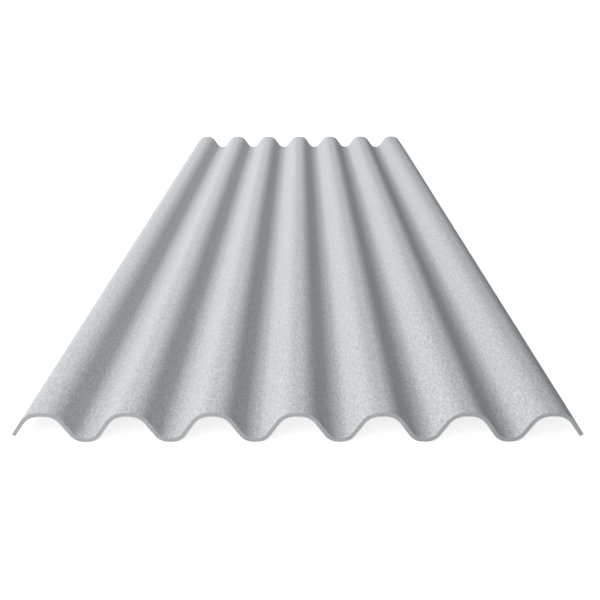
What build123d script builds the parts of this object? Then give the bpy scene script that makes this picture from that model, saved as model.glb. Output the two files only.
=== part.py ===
from build123d import *
import os
from math import radians, tan

# A corrugated fibre cement roofing sheet: one layered, pressed and cured piece.
# X runs across the waves, Y along them and Z is up, and every size is in millimetres.
# The sheet lies on its valleys. The origin is on the floor below the sheet's centre.

# The whole sheet
sheet_length = 3000.0
sheet_thickness = 7.3

# The waves. Radii and widths are those of the upper face, which takes the weather
crest_count = 7
wave_pitch = 146.0
wave_depth = 48.0
flank_angle = 54.5
crest_radius = 40.0
valley_radius = 21.5

# How much wider a crest is than a valley, both taken at half the wave's depth
crest_surplus = 22.0

# From the axis of each outermost crest to the sheet's edge, part-way down the last flank
edge_overhang = 54.0

# The narrowest flat that the roundings may leave along a crest or a valley
least_land = 0.5

# Heights of the upper face. Under it, the valleys' lower face touches the floor
valley_height = sheet_thickness
crest_height = valley_height + wave_depth

# Half of the sheet's width, out to the upper arris of its edge
half_width = (crest_count - 1) * wave_pitch / 2 + edge_overhang

# Straight flanks, carried on to the levels of the crests and the valleys, meet those
# levels in corners. Each corner's distance is taken from the axis of its crest or valley
flank_half_run = wave_depth / 2 / tan(radians(flank_angle))
crest_corner = (wave_pitch + crest_surplus) / 4 - flank_half_run
valley_corner = (wave_pitch - crest_surplus) / 4 - flank_half_run


def rounding(radius: float, corner: float) -> float:
    """The radius of one corner, limited by the land between that corner and its axis."""
    room = corner - least_land / 2
    return min(radius, room / tan(radians(flank_angle / 2)))


# The corners of one wave, from left to right: its crest, then the valley after it
wave_corners = [
    (-crest_corner, crest_height),
    (crest_corner, crest_height),
    (wave_pitch / 2 - valley_corner, valley_height),
    (wave_pitch / 2 + valley_corner, valley_height),
]
wave_roundings = [rounding(crest_radius, crest_corner)] * 2
wave_roundings += [rounding(valley_radius, valley_corner)] * 2

# One wave more is drawn on each side, for the edges to be cut from
wave_axes = [
    (wave - (crest_count - 1) / 2) * wave_pitch for wave in range(-1, crest_count + 1)
]
corners = [(axis + x, z) for axis in wave_axes for x, z in wave_corners]
roundings = wave_roundings * len(wave_axes)

with BuildPart() as corrugated_sheet:
    with BuildSketch(Plane.XZ) as cross_section:
        with BuildLine() as upper_face:
            # The first and last corners only end the line, so they have no rounding
            FilletPolyline(*corners, radius=roundings[1:-1])
            # Both edges are cut where the upper face reaches the full width
            split(bisect_by=Plane.YZ.offset(half_width), keep=Keep.BOTTOM)
            split(bisect_by=Plane.YZ.offset(-half_width), keep=Keep.TOP)
            # The sheet is equally thick all along, so its edges are square to its faces
            offset(amount=sheet_thickness, side=Side.RIGHT)
        make_face()
    extrude(amount=sheet_length / 2, both=True)

corrugated_sheet.part.label = "corrugated_sheet"
os.makedirs("parts", exist_ok=True)
export_step(corrugated_sheet.part, "parts/corrugated_sheet.step")
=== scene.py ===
"""Looks of a corrugated fibre cement roofing sheet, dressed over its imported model.

The sheet is one pressed and cured piece, so the scene has one sub-assembly. Its shape follows a
rule, so Geometry Nodes bend a flat board to the wave. Everything is in metres: X across the
waves, Y along them and Z up, with the floor at Z = 0.
"""

import logging
import math
from dataclasses import dataclass, field
from enum import Enum

import bpy
from bpy.types import Material, Mesh, Node, NodeSocket, NodeTree, Object
from mathutils import Matrix, Vector

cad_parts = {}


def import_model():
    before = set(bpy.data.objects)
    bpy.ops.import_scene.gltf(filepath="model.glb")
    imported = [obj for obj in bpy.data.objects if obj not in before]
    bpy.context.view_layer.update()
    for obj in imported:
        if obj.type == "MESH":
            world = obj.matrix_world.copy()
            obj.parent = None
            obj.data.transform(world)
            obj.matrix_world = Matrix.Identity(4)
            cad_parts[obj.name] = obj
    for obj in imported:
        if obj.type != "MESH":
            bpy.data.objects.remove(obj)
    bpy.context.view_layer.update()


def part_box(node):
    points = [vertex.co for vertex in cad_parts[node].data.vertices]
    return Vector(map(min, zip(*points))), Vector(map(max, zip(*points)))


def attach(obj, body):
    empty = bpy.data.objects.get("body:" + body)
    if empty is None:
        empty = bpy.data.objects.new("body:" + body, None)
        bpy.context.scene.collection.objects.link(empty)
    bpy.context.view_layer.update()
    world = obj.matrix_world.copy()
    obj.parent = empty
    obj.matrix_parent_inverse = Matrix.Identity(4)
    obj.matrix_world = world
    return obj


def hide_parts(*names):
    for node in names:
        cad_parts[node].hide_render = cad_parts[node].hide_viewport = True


log = logging.getLogger("corrugated_sheet")

MM = 0.001
SHEET_NODE = "corrugated_sheet"
BODY = "root"
WHITE = "#FFFFFF"

# Where each point of the surface was while the board was flat, kept on the mesh in metres
FLAT_PLACE = "flat_place"
FLAT_NORMAL = "Flat normal"
# The flat board is made one unit wide and one thick, so its sides are this far from its middle
BOARD_SIDE = 0.5
# A face belongs to the top or the underside where its normal points that way by more than this
FACING = 0.5
# The wave's line has two corners to each axis, and a crest's and a valley's axis to each wave
CORNERS_PER_AXIS = 2.0
AXES_PER_WAVE = 2.0

# A noise stays mostly within this distance of its middle, and its contrast is taken there
NOISE_MIDDLE = 0.5
NOISE_SPREAD = 0.25
# Blender's wave texture repeats its bands after this length, at a scale of 1
BAND_REPEAT = math.pi / 10

# The curve of sRGB: a straight foot below its knee and a power above it
CHANNEL_FULL = 255
SRGB_KNEE = 0.04045
SRGB_FOOT = 12.92
SRGB_LIFT = 0.055
SRGB_POWER = 2.4


class Face(Enum):
    """The kinds of surface on the sheet, by the name of the finish that each one gets."""

    WEATHER = "weather_face"
    UNDERSIDE = "underside"
    CUT = "cut_edge"


def linear(hex_colour: str) -> tuple[float, float, float, float]:
    """Turn an sRGB colour into the linear values that a shader socket takes.

    Args:
        hex_colour: The colour as "#RRGGBB".

    Returns:
        Red, green, blue and an alpha of 1.
    """
    channels = [int(hex_colour[i : i + 2], 16) / CHANNEL_FULL for i in (1, 3, 5)]
    red, green, blue = (
        c / SRGB_FOOT if c <= SRGB_KNEE else ((c + SRGB_LIFT) / (1 + SRGB_LIFT)) ** SRGB_POWER
        for c in channels
    )
    return red, green, blue, 1.0


def per_metre(size_mm: float) -> float:
    """Give the texture scale at which one feature of a pattern is this many millimetres."""
    return 1 / (size_mm * MM)


def add_node(
    tree: NodeTree,
    kind: str,
    inputs: dict[str | int, object] | None = None,
    **settings: object,
) -> Node:
    """Add one node to a tree, with its settings, values and links.

    Args:
        tree: The shader or geometry tree that gets the node.
        kind: The node's type name.
        inputs: For an input's name or number, either a value or the socket linked to it.
        settings: Attributes of the node itself, such as operation="ADD".

    Returns:
        The new node.
    """
    node = tree.nodes.new(kind)
    for name, value in settings.items():
        setattr(node, name, value)
    for key, value in (inputs or {}).items():
        if isinstance(value, NodeSocket):
            tree.links.new(value, node.inputs[key])
        else:
            node.inputs[key].default_value = value
    return node


@dataclass(frozen=True)
class FibreCement:
    """Cement, fine sand and short fibres, pressed and cured: matt, pale and finely grained.

    The sheet was made flat and waved while it was wet, so every pattern is laid out on the flat
    board, and the grain lies along the sheet as the fibres do. The real grain and its relief are
    finer than a pixel of the photograph, and are drawn as coarse as they need to be seen.
    """

    face: Face = Face.WEATHER
    colour: str = "#C6C9CB"
    grain_mm: float = 3.2
    grain_lie: float = 0.42
    grain_contrast: float = 0.39
    grain_octaves: float = 5.0
    octave_share: float = 0.7
    streak_mm: float = 5.0
    streak_lie: float = 0.2
    streak_contrast: float = 0.11
    streak_octaves: float = 1.0
    cloud_mm: float = 26.0
    cloud_lie: float = 0.9
    cloud_contrast: float = 0.02
    cloud_octaves: float = 2.0
    speck_spacing_mm: float = 9.0
    speck_reach: float = 0.22
    speck_contrast: float = 0.18
    relief_mm: float = 0.30
    roughness: float = 0.9
    specular: float = 0.25

    def noise(
        self, tree: NodeTree, place: NodeSocket, size_mm: float, lie: float, octaves: float
    ) -> NodeSocket:
        """Give a noise whose blots are longer along the sheet than across it.

        Args:
            tree: The material's node tree.
            place: The place on the flat board, in metres.
            size_mm: The blots' size across the sheet.
            lie: That size divided by their length along the sheet.
            octaves: How many finer noises are added, each half the size of the one before.

        Returns:
            The socket with the noise, from 0 to 1.
        """
        lying = add_node(tree, "ShaderNodeMapping", {"Vector": place, "Scale": (1.0, lie, 1.0)})
        return add_node(
            tree,
            "ShaderNodeTexNoise",
            {
                "Vector": lying.outputs["Vector"],
                "Scale": per_metre(size_mm),
                "Detail": octaves,
                "Roughness": self.octave_share,
            },
        ).outputs["Fac"]

    def shade(self, tree: NodeTree, pattern: NodeSocket, contrast: float) -> NodeSocket:
        """Turn a pattern around its middle into a factor around one.

        Args:
            tree: The material's node tree.
            pattern: The pattern, from 0 to 1.
            contrast: How far the factor is from 1 where a noise's spread ends.

        Returns:
            The socket with the factor.
        """
        return add_node(
            tree,
            "ShaderNodeMapRange",
            {
                "Value": pattern,
                "From Min": NOISE_MIDDLE - NOISE_SPREAD,
                "From Max": NOISE_MIDDLE + NOISE_SPREAD,
                "To Min": 1 - contrast,
                "To Max": 1 + contrast,
            },
            clamp=False,
        ).outputs["Result"]

    def specks(self, tree: NodeTree, place: NodeSocket) -> NodeSocket:
        """Give single pale and dark grains, as a factor around one.

        Args:
            tree: The material's node tree.
            place: The place on the flat board, in metres.

        Returns:
            The socket with the factor.
        """
        cells = add_node(
            tree,
            "ShaderNodeTexVoronoi",
            {"Vector": place, "Scale": per_metre(self.speck_spacing_mm)},
        )
        spot = add_node(
            tree,
            "ShaderNodeMapRange",
            {
                "Value": cells.outputs["Distance"],
                "From Min": 0.0,
                "From Max": self.speck_reach,
                "To Min": 1.0,
                "To Max": 0.0,
            },
        )
        lean = add_node(tree, "ShaderNodeSeparateXYZ", {"Vector": cells.outputs["Color"]})
        tone = add_node(
            tree,
            "ShaderNodeMapRange",
            {
                "Value": lean.outputs["X"],
                "To Min": -self.speck_contrast,
                "To Max": self.speck_contrast,
            },
        )
        return add_node(
            tree,
            "ShaderNodeMath",
            {0: tone.outputs["Result"], 1: spot.outputs["Result"], 2: 1.0},
            operation="MULTIPLY_ADD",
        ).outputs[0]

    def marks(self, tree: NodeTree, place: NodeSocket) -> list[NodeSocket]:
        """Give the broad marks of this face: streaks and clouds left by the felt and the roller.

        Args:
            tree: The material's node tree.
            place: The place on the flat board, in metres.

        Returns:
            Sockets with factors around one.
        """
        streaks = self.noise(tree, place, self.streak_mm, self.streak_lie, self.streak_octaves)
        clouds = self.noise(tree, place, self.cloud_mm, self.cloud_lie, self.cloud_octaves)
        return [
            self.shade(tree, streaks, self.streak_contrast),
            self.shade(tree, clouds, self.cloud_contrast),
        ]

    def relief(self, tree: NodeTree, place: NodeSocket, grain: NodeSocket) -> NodeSocket:
        """Give the height of this face's relief, which is that of its grain alone.

        Args:
            tree: The material's node tree.
            place: The place on the flat board, in metres.
            grain: The grain, from 0 to 1.

        Returns:
            The socket with the height, as a share of the relief's full depth.
        """
        return grain

    def material(self) -> Material:
        """Build the finish's material.

        Returns:
            The material, named for the face that it covers.
        """
        material = bpy.data.materials.new(f"fibre_cement_{self.face.value}")
        material.use_nodes = True
        tree = material.node_tree
        tree.nodes.clear()
        place = add_node(
            tree, "ShaderNodeAttribute", attribute_name=FLAT_PLACE, attribute_type="GEOMETRY"
        ).outputs["Vector"]
        grain = self.noise(tree, place, self.grain_mm, self.grain_lie, self.grain_octaves)
        tone = self.shade(tree, grain, self.grain_contrast)
        for factor in (self.specks(tree, place), *self.marks(tree, place)):
            tone = add_node(
                tree, "ShaderNodeMath", {0: tone, 1: factor}, operation="MULTIPLY"
            ).outputs[0]
        colour = add_node(
            tree,
            "ShaderNodeVectorMath",
            {0: linear(self.colour)[:3], "Scale": tone},
            operation="SCALE",
        )
        bump = add_node(
            tree,
            "ShaderNodeBump",
            {
                "Height": self.relief(tree, place, grain),
                "Distance": self.relief_mm * MM,
                "Strength": 1.0,
            },
        )
        surface = add_node(
            tree,
            "ShaderNodeBsdfPrincipled",
            {
                "Base Color": colour.outputs["Vector"],
                "Roughness": self.roughness,
                "Specular IOR Level": self.specular,
                "Normal": bump.outputs["Normal"],
            },
        )
        add_node(tree, "ShaderNodeOutputMaterial", {"Surface": surface.outputs["BSDF"]})
        return material


@dataclass(frozen=True)
class FeltedUnderside(FibreCement):
    """The face that lay on the felt: a little darker, with the imprint of a coarse cloth.

    The cloth's threads are about a millimetre wide, and are drawn coarser so that they show.
    """

    face: Face = Face.UNDERSIDE
    colour: str = "#BEC1C2"
    thread_mm: float = 4.0
    thread_share: float = 0.5
    thread_waver: float = 0.6
    thread_waver_scale: float = 0.4
    thread_octaves: float = 1.0
    cloud_contrast: float = 0.03
    relief_mm: float = 0.40

    def relief(self, tree: NodeTree, place: NodeSocket, grain: NodeSocket) -> NodeSocket:
        """Give the height of the cloth's imprint and of the grain in it.

        Args:
            tree: The material's node tree.
            place: The place on the flat board, in metres.
            grain: The grain, from 0 to 1.

        Returns:
            The socket with the height, as a share of the relief's full depth.
        """
        height = grain
        for direction in ("X", "Y"):
            threads = add_node(
                tree,
                "ShaderNodeTexWave",
                {
                    "Vector": place,
                    # A thread and the gap beside it make one repeat of the bands
                    "Scale": per_metre(self.thread_mm) * BAND_REPEAT / 2,
                    "Distortion": self.thread_waver,
                    "Detail": self.thread_octaves,
                    "Detail Scale": self.thread_waver_scale,
                },
                bands_direction=direction,
            )
            height = add_node(
                tree,
                "ShaderNodeMath",
                {0: threads.outputs["Fac"], 1: self.thread_share, 2: height},
                operation="MULTIPLY_ADD",
            ).outputs[0]
        return height


@dataclass(frozen=True)
class SawnEdge(FibreCement):
    """The sawn edge: smoother than the faces, with the thin films that the sheet was built of.

    It is the same cement, and looks darker than the faces only where it is turned from the
    light. The films are a few tenths of a millimetre each, and are drawn twice as thick.
    """

    face: Face = Face.CUT
    colour: str = "#CCCDCE"
    grain_mm: float = 1.4
    grain_lie: float = 1.0
    grain_contrast: float = 0.2
    film_mm: float = 0.6
    film_lie: float = 0.04
    film_octaves: float = 1.0
    film_contrast: float = 0.14
    relief_mm: float = 0.12

    def marks(self, tree: NodeTree, place: NodeSocket) -> list[NodeSocket]:
        """Give the edges of the films, as lines along the cut.

        Args:
            tree: The material's node tree.
            place: The place on the flat board, in metres.

        Returns:
            Sockets with factors around one.
        """
        films = add_node(
            tree,
            "ShaderNodeMapping",
            {"Vector": place, "Scale": (self.film_lie, self.film_lie, 1.0)},
        )
        lines = add_node(
            tree,
            "ShaderNodeTexNoise",
            {
                "Vector": films.outputs["Vector"],
                "Scale": per_metre(self.film_mm),
                "Detail": self.film_octaves,
            },
        )
        return [self.shade(tree, lines.outputs["Fac"], self.film_contrast)]


@dataclass(frozen=True)
class Wave:
    """The sheet's wave, by its upper face: round crests and valleys with straight flanks."""

    pitch: float = 146.0 * MM
    depth: float = 48.0 * MM
    flank_angle: float = math.radians(54.5)
    crest_radius: float = 40.0 * MM
    valley_radius: float = 21.5 * MM
    # How much wider a crest is than a valley, at half of the wave's depth
    crest_surplus: float = 22.0 * MM

    @property
    def flank_half_run(self) -> float:
        """How far a flank runs across the sheet in half of the wave's depth."""
        return self.depth / 2 / math.tan(self.flank_angle)

    @property
    def crest_corner(self) -> float:
        """From a crest's axis to where its flat and its flank would meet."""
        return (self.pitch + self.crest_surplus) / 4 - self.flank_half_run

    @property
    def valley_corner(self) -> float:
        """From a valley's axis to where its flat and its flank would meet."""
        return (self.pitch - self.crest_surplus) / 4 - self.flank_half_run


@dataclass
class CorrugatedSheet:
    """The one sheet: its sizes, its mesh and its finishes."""

    low: Vector
    high: Vector
    wave: Wave = field(default_factory=Wave)
    crests: int = 7
    thickness: float = 7.3 * MM
    arris: float = 0.2 * MM
    arris_steps: int = 3
    # Only edges that turn more sharply than this are arrises
    arris_angle: float = math.radians(60)
    # How many times longer the waved line is than the sheet is wide, to count the mesh's steps
    developed: float = 1.28
    across_step: float = 1.5 * MM
    along_steps: int = 24
    through_steps: int = 2
    arc_steps: int = 36

    @property
    def overhang(self) -> float:
        """From the axis of an outermost crest to the sheet's edge."""
        return (self.high.x - self.low.x - (self.crests - 1) * self.wave.pitch) / 2

    @property
    def edge_trim(self) -> float:
        """The length of the last flank, down to the valley's corner, that the edge cuts off."""
        short = self.wave.pitch / 2 - self.wave.valley_corner - self.overhang
        return short / math.cos(self.wave.flank_angle)

    def sizes(self) -> dict[str, float]:
        """Give the tree's sizes by the names of its inputs."""
        return {
            "Length": self.high.y - self.low.y,
            "Thickness": self.thickness,
            "Pitch": self.wave.pitch,
            "Depth": self.high.z - self.low.z - self.thickness,
            "Crest corner": self.wave.crest_corner,
            "Valley corner": self.wave.valley_corner,
            "Crest radius": self.wave.crest_radius,
            "Valley radius": self.wave.valley_radius,
            "Edge trim": self.edge_trim,
        }

    def counts(self) -> dict[str, int]:
        """Give the tree's whole numbers by the names of its inputs."""
        across = self.developed * (self.high.x - self.low.x)
        return {
            "Crests": self.crests,
            "Arc steps": self.arc_steps,
            "Across points": round(across / self.across_step) + 1,
            "Along points": self.along_steps + 1,
            "Through points": self.through_steps + 1,
        }

    def tree(self) -> NodeTree:
        """Build the Geometry Nodes tree that bends a flat board to the wave and dresses it.

        Returns:
            The tree, whose named inputs are the sheet's sizes and its three finishes.
        """
        tree = bpy.data.node_groups.new("bent_board", "GeometryNodeTree")
        tree.interface.new_socket("Geometry", in_out="OUTPUT", socket_type="NodeSocketGeometry")
        for names, kind in (
            (self.sizes(), "NodeSocketFloat"),
            (self.counts(), "NodeSocketInt"),
            ([face.value for face in Face], "NodeSocketMaterial"),
        ):
            for name in names:
                tree.interface.new_socket(name, in_out="INPUT", socket_type=kind)
        given = add_node(tree, "NodeGroupInput").outputs
        line = self.wave_line(tree, given)
        place = self.flat_place(tree, given, line)
        board, normal = self.flat_board(tree, given, place)
        bent = self.bend(tree, board, place, line)
        dressed = self.dress(tree, given, bent, normal)
        add_node(tree, "NodeGroupOutput", {"Geometry": dressed})
        return tree

    def wave_line(self, tree: NodeTree, given: bpy.types.bpy_prop_collection) -> NodeSocket:
        """Draw the line of the upper face, one wave after the other.

        It runs through corners, two to a crest and two to a valley, which are then rounded.
        Counted from 1, even and odd corners lie left and right of the axis that they share, and
        the axes of valleys and crests take turns.

        Args:
            tree: The geometry tree.
            given: The tree's inputs, by name.

        Returns:
            The socket with the line, in the plane Y = 0.
        """
        index = add_node(tree, "GeometryNodeInputIndex").outputs["Index"]
        number = add_node(tree, "ShaderNodeMath", {0: index, 1: 1.0}, operation="ADD").outputs[0]
        halved = add_node(
            tree, "ShaderNodeMath", {0: number, 1: CORNERS_PER_AXIS}, operation="DIVIDE"
        )
        axis = add_node(tree, "ShaderNodeMath", {0: halved.outputs[0]}, operation="FLOOR")
        on_crest = add_node(
            tree,
            "ShaderNodeMath",
            {0: axis.outputs[0], 1: AXES_PER_WAVE},
            operation="MODULO",
        ).outputs[0]
        side = add_node(
            tree, "ShaderNodeMath", {0: number, 1: CORNERS_PER_AXIS}, operation="MODULO"
        )
        # From 0 and 1 to -1 on the left of the axis and 1 on its right
        sign = add_node(
            tree, "ShaderNodeMath", {0: side.outputs[0], 1: 2.0, 2: -1.0}, operation="MULTIPLY_ADD"
        )
        reach = add_node(
            tree,
            "ShaderNodeMix",
            {"Factor": on_crest, "A": given["Valley corner"], "B": given["Crest corner"]},
        )
        level = add_node(
            tree,
            "ShaderNodeMath",
            {0: on_crest, 1: given["Depth"], 2: given["Thickness"]},
            operation="MULTIPLY_ADD",
        )
        radius = add_node(
            tree,
            "ShaderNodeMix",
            {"Factor": on_crest, "A": given["Valley radius"], "B": given["Crest radius"]},
        )
        from_middle = add_node(
            tree, "ShaderNodeMath", {0: axis.outputs[0], 1: given["Crests"]}, operation="SUBTRACT"
        )
        axis_spacing = add_node(
            tree, "ShaderNodeMath", {0: given["Pitch"], 1: AXES_PER_WAVE}, operation="DIVIDE"
        )
        axis_place = add_node(
            tree,
            "ShaderNodeMath",
            {0: from_middle.outputs[0], 1: axis_spacing.outputs[0]},
            operation="MULTIPLY",
        )
        corner_place = add_node(
            tree,
            "ShaderNodeMath",
            {0: sign.outputs[0], 1: reach.outputs["Result"], 2: axis_place.outputs[0]},
            operation="MULTIPLY_ADD",
        )
        corner = add_node(
            tree, "ShaderNodeCombineXYZ", {"X": corner_place.outputs[0], "Z": level.outputs[0]}
        )
        corner_count = add_node(
            tree,
            "ShaderNodeMath",
            {0: given["Crests"], 1: CORNERS_PER_AXIS * AXES_PER_WAVE},
            operation="MULTIPLY",
        )
        points = add_node(tree, "GeometryNodeMeshLine", {"Count": corner_count.outputs[0]})
        corners = add_node(
            tree,
            "GeometryNodeSetPosition",
            {"Geometry": points.outputs["Mesh"], "Position": corner.outputs["Vector"]},
        )
        angular = add_node(tree, "GeometryNodeMeshToCurve", {"Mesh": corners.outputs["Geometry"]})
        return add_node(
            tree,
            "GeometryNodeFilletCurve",
            {
                "Curve": angular.outputs["Curve"],
                "Count": given["Arc steps"],
                "Radius": radius.outputs["Result"],
            },
            mode="POLY",
        ).outputs["Curve"]

    def flat_place(
        self, tree: NodeTree, given: bpy.types.bpy_prop_collection, line: NodeSocket
    ) -> NodeSocket:
        """Give each point of the unit board its real place on the sheet while that is flat.

        Args:
            tree: The geometry tree.
            given: The tree's inputs, by name.
            line: The line of the upper face.

        Returns:
            The socket with the distance along that line, along the sheet and below the face.
        """
        position = add_node(tree, "GeometryNodeInputPosition").outputs["Position"]
        unit = add_node(tree, "ShaderNodeSeparateXYZ", {"Vector": position})
        whole = add_node(tree, "GeometryNodeCurveLength", {"Curve": line})
        far_edge = add_node(
            tree,
            "ShaderNodeMath",
            {0: whole.outputs["Length"], 1: given["Edge trim"]},
            operation="SUBTRACT",
        )
        distance = add_node(
            tree,
            "ShaderNodeMapRange",
            {
                "Value": unit.outputs["X"],
                "From Min": -BOARD_SIDE,
                "From Max": BOARD_SIDE,
                "To Min": given["Edge trim"],
                "To Max": far_edge.outputs[0],
            },
        )
        below_face = add_node(
            tree,
            "ShaderNodeMapRange",
            {
                "Value": unit.outputs["Z"],
                "From Min": BOARD_SIDE,
                "From Max": -BOARD_SIDE,
                "To Min": 0.0,
                "To Max": given["Thickness"],
            },
        )
        return add_node(
            tree,
            "ShaderNodeCombineXYZ",
            {
                "X": distance.outputs["Result"],
                "Y": unit.outputs["Y"],
                "Z": below_face.outputs["Result"],
            },
        ).outputs["Vector"]

    def flat_board(
        self, tree: NodeTree, given: bpy.types.bpy_prop_collection, place: NodeSocket
    ) -> tuple[NodeSocket, NodeSocket]:
        """Make the unit board and keep on it what its finishes go by once it is bent.

        Args:
            tree: The geometry tree.
            given: The tree's inputs, by name.
            place: The real place of each point while the sheet is flat.

        Returns:
            Sockets with the board and with the normals of its faces while it is flat.
        """
        size = add_node(tree, "ShaderNodeCombineXYZ", {"X": 1.0, "Y": given["Length"], "Z": 1.0})
        board = add_node(
            tree,
            "GeometryNodeMeshCube",
            {
                "Size": size.outputs["Vector"],
                "Vertices X": given["Across points"],
                "Vertices Y": given["Along points"],
                "Vertices Z": given["Through points"],
            },
        )
        placed = add_node(
            tree,
            "GeometryNodeStoreNamedAttribute",
            {"Geometry": board.outputs["Mesh"], "Name": FLAT_PLACE, "Value": place},
            data_type="FLOAT_VECTOR",
            domain="POINT",
        )
        kept = add_node(
            tree,
            "GeometryNodeCaptureAttribute",
            {"Geometry": placed.outputs["Geometry"]},
            domain="FACE",
        )
        kept.capture_items.new("VECTOR", FLAT_NORMAL)
        normal = add_node(tree, "GeometryNodeInputNormal").outputs["Normal"]
        tree.links.new(normal, kept.inputs[FLAT_NORMAL])
        return kept.outputs["Geometry"], kept.outputs[FLAT_NORMAL]

    def bend(
        self, tree: NodeTree, board: NodeSocket, place: NodeSocket, line: NodeSocket
    ) -> NodeSocket:
        """Bend the board: each point goes below its place on the line, square to the line.

        Args:
            tree: The geometry tree.
            board: The flat board.
            place: The real place of each point while the sheet is flat.
            line: The line of the upper face.

        Returns:
            The socket with the waved sheet.
        """
        flat = add_node(tree, "ShaderNodeSeparateXYZ", {"Vector": place}).outputs
        on_line = add_node(
            tree,
            "GeometryNodeSampleCurve",
            {"Curves": line, "Length": flat["X"]},
            mode="LENGTH",
        )
        inward = add_node(
            tree,
            "ShaderNodeVectorMath",
            {0: (0.0, 1.0, 0.0), 1: on_line.outputs["Tangent"]},
            operation="CROSS_PRODUCT",
        )
        below = add_node(
            tree,
            "ShaderNodeVectorMath",
            {0: inward.outputs["Vector"], 1: flat["Z"], 2: on_line.outputs["Position"]},
            operation="MULTIPLY_ADD",
        )
        along = add_node(tree, "ShaderNodeCombineXYZ", {"Y": flat["Y"]})
        bent_place = add_node(
            tree,
            "ShaderNodeVectorMath",
            {0: below.outputs["Vector"], 1: along.outputs["Vector"]},
            operation="ADD",
        )
        bent = add_node(
            tree,
            "GeometryNodeSetPosition",
            {"Geometry": board, "Position": bent_place.outputs["Vector"]},
        )
        return add_node(
            tree, "GeometryNodeSetShadeSmooth", {"Geometry": bent.outputs["Geometry"]}
        ).outputs["Geometry"]

    def dress(
        self,
        tree: NodeTree,
        given: bpy.types.bpy_prop_collection,
        sheet: NodeSocket,
        normal: NodeSocket,
    ) -> NodeSocket:
        """Give the top, the underside and the cut edges their finishes.

        Args:
            tree: The geometry tree.
            given: The tree's inputs, by name.
            sheet: The waved sheet.
            normal: The normals of its faces while it was flat.

        Returns:
            The socket with the dressed sheet.
        """
        up = add_node(tree, "ShaderNodeSeparateXYZ", {"Vector": normal}).outputs["Z"]
        upper = add_node(tree, "ShaderNodeMath", {0: up, 1: FACING}, operation="GREATER_THAN")
        lower = add_node(tree, "ShaderNodeMath", {0: up, 1: -FACING}, operation="LESS_THAN")
        dressed = add_node(
            tree, "GeometryNodeRealizeInstances", {"Geometry": sheet}
        ).outputs["Geometry"]
        for face, where in (
            (Face.CUT, True),
            (Face.WEATHER, upper.outputs[0]),
            (Face.UNDERSIDE, lower.outputs[0]),
        ):
            dressed = add_node(
                tree,
                "GeometryNodeSetMaterial",
                {"Geometry": dressed, "Selection": where, "Material": given[face.value]},
            ).outputs["Geometry"]
        return dressed

    def mesh(self, finishes: dict[Face, Material]) -> Mesh:
        """Run the tree, ease the arrises and keep the result as a plain mesh.

        Args:
            finishes: The material of each kind of surface.

        Returns:
            The finished mesh, in place.
        """
        maker = bpy.data.objects.new("board_maker", bpy.data.meshes.new("board_maker"))
        bpy.context.scene.collection.objects.link(maker)
        bend = maker.modifiers.new("bend", "NODES")
        bend.node_group = self.tree()
        values: dict[str, object] = {**self.sizes(), **self.counts()}
        values.update({face.value: finishes[face] for face in Face})
        for item in bend.node_group.interface.items_tree:
            if item.in_out == "INPUT":
                bend[item.identifier] = values[item.name]
        ease = maker.modifiers.new("ease", "BEVEL")
        ease.width = self.arris
        ease.segments = self.arris_steps
        ease.limit_method = "ANGLE"
        ease.angle_limit = self.arris_angle
        ease.harden_normals = True
        bpy.context.view_layer.update()
        evaluated = maker.evaluated_get(bpy.context.evaluated_depsgraph_get())
        mesh = bpy.data.meshes.new_from_object(evaluated)
        bpy.data.objects.remove(maker)
        return mesh

    def build(self) -> Object:
        """Make the dressed sheet and put it in the CAD sheet's place.

        Returns:
            The sheet's object, which rides on the root body.
        """
        finishes = {
            finish.face: finish.material()
            for finish in (FibreCement(), FeltedUnderside(), SawnEdge())
        }
        sheet = bpy.data.objects.new("fibre_cement_sheet", self.mesh(finishes))
        bpy.context.scene.collection.objects.link(sheet)
        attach(sheet, BODY)
        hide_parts(SHEET_NODE)
        return sheet


@dataclass(frozen=True)
class SoftLight:
    """A long soft box beside the sheet, which lights its waves evenly from end to end."""

    name: str = "key"
    across: float = -0.77
    height: float = 1.17
    width: float = 1.15
    length: float = 9.0
    # The box is turned to a point this high over the sheet's middle line, which evens the waves
    aimed_height: float = 0.69
    radiance: float = 2.092
    colour: str = WHITE

    def build(self) -> Object:
        """Hang the soft box over the floor and aim it.

        Returns:
            The light's object.
        """
        lamp = bpy.data.lights.new(self.name, "AREA")
        lamp.shape = "RECTANGLE"
        lamp.size, lamp.size_y = self.width, self.length
        # Each part of the box sends out pi times its radiance in all directions together
        lamp.energy = self.radiance * self.width * self.length * math.pi
        lamp.color = linear(self.colour)[:3]
        light = bpy.data.objects.new(self.name, lamp)
        light.location = (self.across, 0.0, self.height)
        lean = math.atan2(-self.across, self.height - self.aimed_height)
        light.rotation_euler = (0.0, -lean, 0.0)
        light.visible_camera = False
        bpy.context.scene.collection.objects.link(light)
        return light


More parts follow.
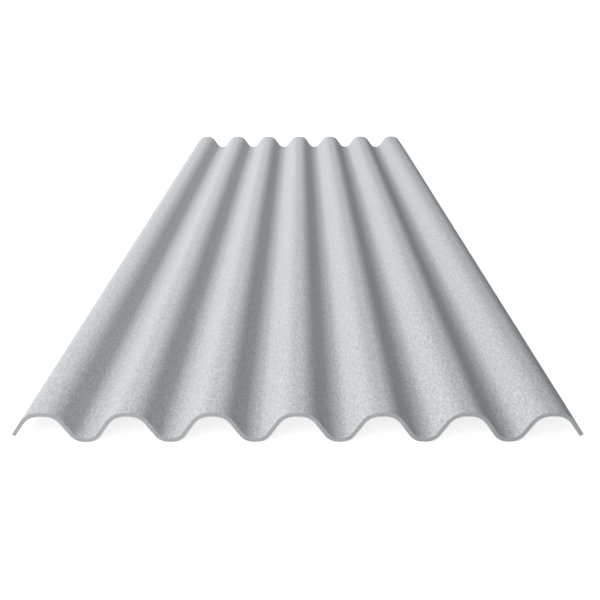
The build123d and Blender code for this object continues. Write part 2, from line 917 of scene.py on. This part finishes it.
@dataclass(frozen=True)
class Studio:
    """A plain white floor and backdrop, soft light from the left and a low fill from all round."""

    fill: float = 0.164
    fill_colour: str = "#EEF7FF"
    sun_from_vertical: float = math.radians(60.0)
    sun_strength: float = 0.70
    sun_softness: float = math.radians(36.0)
    floor_glow: float = 0.82
    floor_colour: str = "#F2F2F2"
    floor_reach: float = 30.0

    def seen_directly(self, tree: NodeTree) -> NodeSocket:
        """Give 1 for the rays that should find a white studio, and 0 for those that light things.

        Args:
            tree: The world's or the floor's node tree.

        Returns:
            The socket with the share.
        """
        ray = add_node(tree, "ShaderNodeLightPath").outputs
        share = ray["Is Camera Ray"]
        for kind in ("Is Glossy Ray", "Is Transmission Ray"):
            share = add_node(
                tree, "ShaderNodeMath", {0: share, 1: ray[kind]}, operation="MAXIMUM"
            ).outputs[0]
        return share

    def light_world(self) -> None:
        """Give the scene its world: white where it is seen, a low even fill where it lights."""
        world = bpy.data.worlds.new("white_studio")
        bpy.context.scene.world = world
        world.use_nodes = True
        tree = world.node_tree
        tree.nodes.clear()
        fill = add_node(
            tree,
            "ShaderNodeBackground",
            {"Color": linear(self.fill_colour), "Strength": self.fill},
        )
        white = add_node(tree, "ShaderNodeBackground", {"Color": linear(WHITE), "Strength": 1.0})
        both = add_node(
            tree,
            "ShaderNodeMixShader",
            {0: self.seen_directly(tree), 1: fill.outputs[0], 2: white.outputs[0]},
        )
        add_node(tree, "ShaderNodeOutputWorld", {"Surface": both.outputs[0]})

    def lay_floor(self) -> None:
        """Lay the floor, a pale matt sheet of paper that keeps the shadow."""
        material = bpy.data.materials.new("white_paper_floor")
        material.use_nodes = True
        tree = material.node_tree
        tree.nodes.clear()
        paper = add_node(tree, "ShaderNodeBsdfDiffuse", {"Color": linear(self.floor_colour)})
        strength = add_node(
            tree,
            "ShaderNodeMath",
            {0: self.seen_directly(tree), 1: self.floor_glow},
            operation="MULTIPLY",
        )
        glow = add_node(
            tree, "ShaderNodeEmission", {"Color": linear(WHITE), "Strength": strength.outputs[0]}
        )
        both = add_node(tree, "ShaderNodeAddShader", {0: paper.outputs[0], 1: glow.outputs[0]})
        add_node(tree, "ShaderNodeOutputMaterial", {"Surface": both.outputs[0]})
        reach = self.floor_reach
        mesh = bpy.data.meshes.new("floor")
        corners = [(-reach, -reach, 0), (reach, -reach, 0), (reach, reach, 0), (-reach, reach, 0)]
        mesh.from_pydata(corners, [], [(0, 1, 2, 3)])
        mesh.materials.append(material)
        floor = bpy.data.objects.new("floor", mesh)
        bpy.context.scene.collection.objects.link(floor)

    def light_sheet(self) -> None:
        """Place the soft box and the broad distant light, both on the left."""
        SoftLight().build()
        lamp = bpy.data.lights.new("broad_light", "SUN")
        lamp.energy = self.sun_strength
        lamp.angle = self.sun_softness
        sun = bpy.data.objects.new("broad_light", lamp)
        sun.rotation_euler = (0.0, -self.sun_from_vertical, 0.0)
        bpy.context.scene.collection.objects.link(sun)

    def build(self) -> None:
        """Set up the world, the floor and the lights."""
        self.light_world()
        self.lay_floor()
        self.light_sheet()


@dataclass(frozen=True)
class PhotoCamera:
    """The photograph's viewpoint, fitted to the outlines of the sheet's two ends."""

    place: tuple[float, float, float] = (4.7 * MM, -2933.4 * MM, 749.6 * MM)
    pitch_down: float = math.radians(18.908)
    roll: float = math.radians(-0.049)
    turn_right: float = math.radians(-0.012)
    focal_pixels: float = 927.44
    picture_pixels: int = 600
    sensor_mm: float = 36.0

    def build(self) -> Object:
        """Make the camera and give it to the scene.

        Returns:
            The camera's object.
        """
        data = bpy.data.cameras.new("photo_camera")
        data.sensor_width = self.sensor_mm
        data.lens = self.focal_pixels / self.picture_pixels * self.sensor_mm
        camera = bpy.data.objects.new("photo_camera", data)
        heading = Matrix.Rotation(-self.turn_right, 4, "Z")
        tilt = Matrix.Rotation(math.pi / 2 - self.pitch_down, 4, "X")
        roll = Matrix.Rotation(self.roll, 4, "Z")
        camera.matrix_world = Matrix.Translation(self.place) @ heading @ tilt @ roll
        bpy.context.scene.collection.objects.link(camera)
        bpy.context.scene.camera = camera
        return camera


def main() -> None:
    """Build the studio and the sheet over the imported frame."""
    logging.basicConfig(level=logging.INFO, format="%(name)s: %(message)s")
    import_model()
    scene = bpy.context.scene
    scene.view_settings.view_transform = "Standard"
    PhotoCamera().build()
    Studio().build()
    low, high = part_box(SHEET_NODE)
    sheet = CorrugatedSheet(low, high).build()
    log.info("%s: %d faces", sheet.name, len(sheet.data.polygons))


if __name__ == "__main__":
    main()
